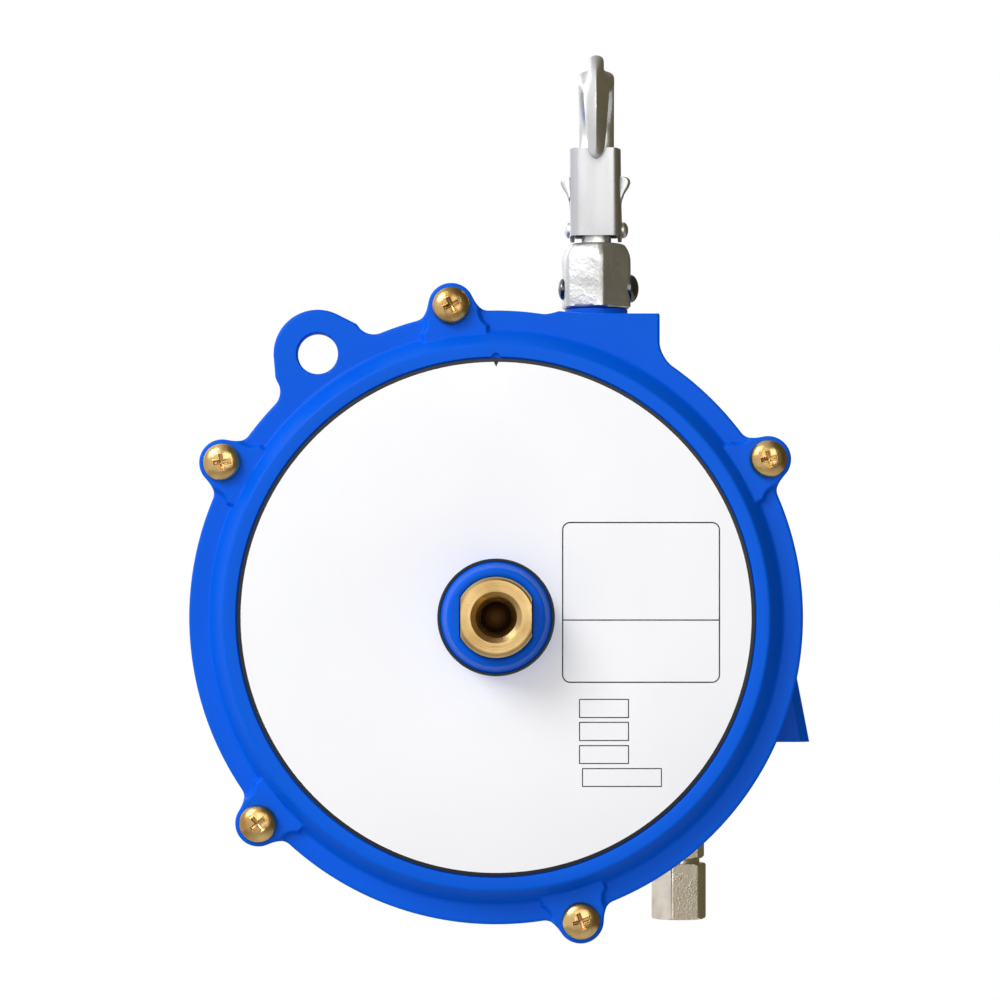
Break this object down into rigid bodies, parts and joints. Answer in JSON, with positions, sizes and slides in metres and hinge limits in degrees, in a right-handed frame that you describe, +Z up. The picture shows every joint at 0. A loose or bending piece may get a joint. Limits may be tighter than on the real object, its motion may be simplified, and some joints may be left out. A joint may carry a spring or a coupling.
{
  "type": "hose tool balancer",
  "caption": "Spring tool balancer with an air hose: cast blue housing on a swivel snap hook, round face plate, hollow brass inlet shaft, safety lug and an end fitting on the hose.",
  "frame": {"origin": "centre of the snap hook's bowl, where the balancer hangs", "axes": "+Z up along the hang line, -Y out of the face plate along the inlet shaft, +X right seen from the front"},
  "size_m": [0.1709, 0.127, 0.2465],
  "materials": {
    "housing_blue": "satin",
    "plate_white": "satin",
    "screw_yellow": "satin",
    "steel_plated": "satin",
    "steel_bright": "polished",
    "fitting_nickel": "satin",
    "brass": "satin",
    "bronze": "satin",
    "drum_metal": "satin",
    "spring_steel": "satin",
    "dark_steel": "satin",
    "hose_black": "satin",
    "rubber_black": "matte",
    "nylon_black": "matte"
  },
  "bodies": {
    "hook": {"hook": "steel_plated", "hook_pin": "dark_steel", "latch_rivet": "steel_plated", "latch_spring": "spring_steel", "swivel_stud": "dark_steel", "stud_nut": "dark_steel", "stud_washer": "dark_steel"},
    "latch": {"hook_latch": "steel_bright"},
    "case": {"front_cover": "housing_blue", "name_plate": "plate_white", "cover_screws": "screw_yellow", "rear_case": "housing_blue", "gear_cover": "housing_blue", "gear_cover_screws": "screw_yellow", "air_shaft": "brass", "shaft_screws": "dark_steel", "shaft_o_rings": "rubber_black", "arbor_bush": "bronze", "worm_bushes": "bronze", "hose_guide": "nylon_black", "hose_run": "hose_black", "stud_bush": "bronze"},
    "drum": {"hose_drum": "drum_metal", "drum_bushes": "bronze", "wound_hose": "hose_black", "hose_nipple": "brass", "spring_cover": "steel_plated", "spring_cover_screws": "dark_steel", "mainspring": "spring_steel"},
    "arbor": {"spring_arbor": "dark_steel", "wheel_clip": "spring_steel", "wheel_key": "dark_steel", "worm_wheel": "bronze"},
    "worm": {"worm": "dark_steel"},
    "hose_end": {"hose_tail": "hose_black", "hose_stopper": "rubber_black", "hose_nut": "fitting_nickel", "hose_fitting": "fitting_nickel"}
  },
  "joints": [
    {"name": "latch_open", "type": "hinge", "parent": "hook", "child": "latch", "pos_m": [0, 0, -0.0276], "axis": [-0.9903, 0.1392, 0], "range_deg": [0, 35], "stiffness_Nm_per_rad": 0.02, "springref_deg": -28.65},
    {"name": "case_swivel", "type": "hinge", "parent": "hook", "child": "case", "pos_m": [0, 0, -0.05], "axis": [0, 0, 1], "continuous": true},
    {"name": "drum_spin", "type": "hinge", "parent": "case", "child": "drum", "pos_m": [-0.0282, -0.045, -0.1365], "axis": [0, 1, 0], "range_deg": [0, 1306.7], "stiffness_Nm_per_rad": 0.009, "springref_deg": -1432.39, "deforming": ["mainspring"]},
    {"name": "hose_pull", "type": "slide", "parent": "case", "child": "hose_end", "axis": [0, 0, -1], "range_m": [0, 1.3], "deforming": ["hose_run"]},
    {"name": "worm_turn", "type": "hinge", "parent": "case", "child": "worm", "pos_m": [-0.0282, 0.052, -0.1565], "axis": [1, 0, 0], "continuous": true},
    {"name": "arbor_turn", "type": "hinge", "parent": "case", "child": "arbor", "pos_m": [-0.0282, -0.045, -0.1365], "axis": [0, 1, 0], "continuous": true}
  ],
  "couplings": [
    {"joint": "hose_pull", "follows": "drum_spin", "m_per_rad": 0.057},
    {"joint": "worm_turn", "follows": "arbor_turn", "ratio": 30}
  ]
}
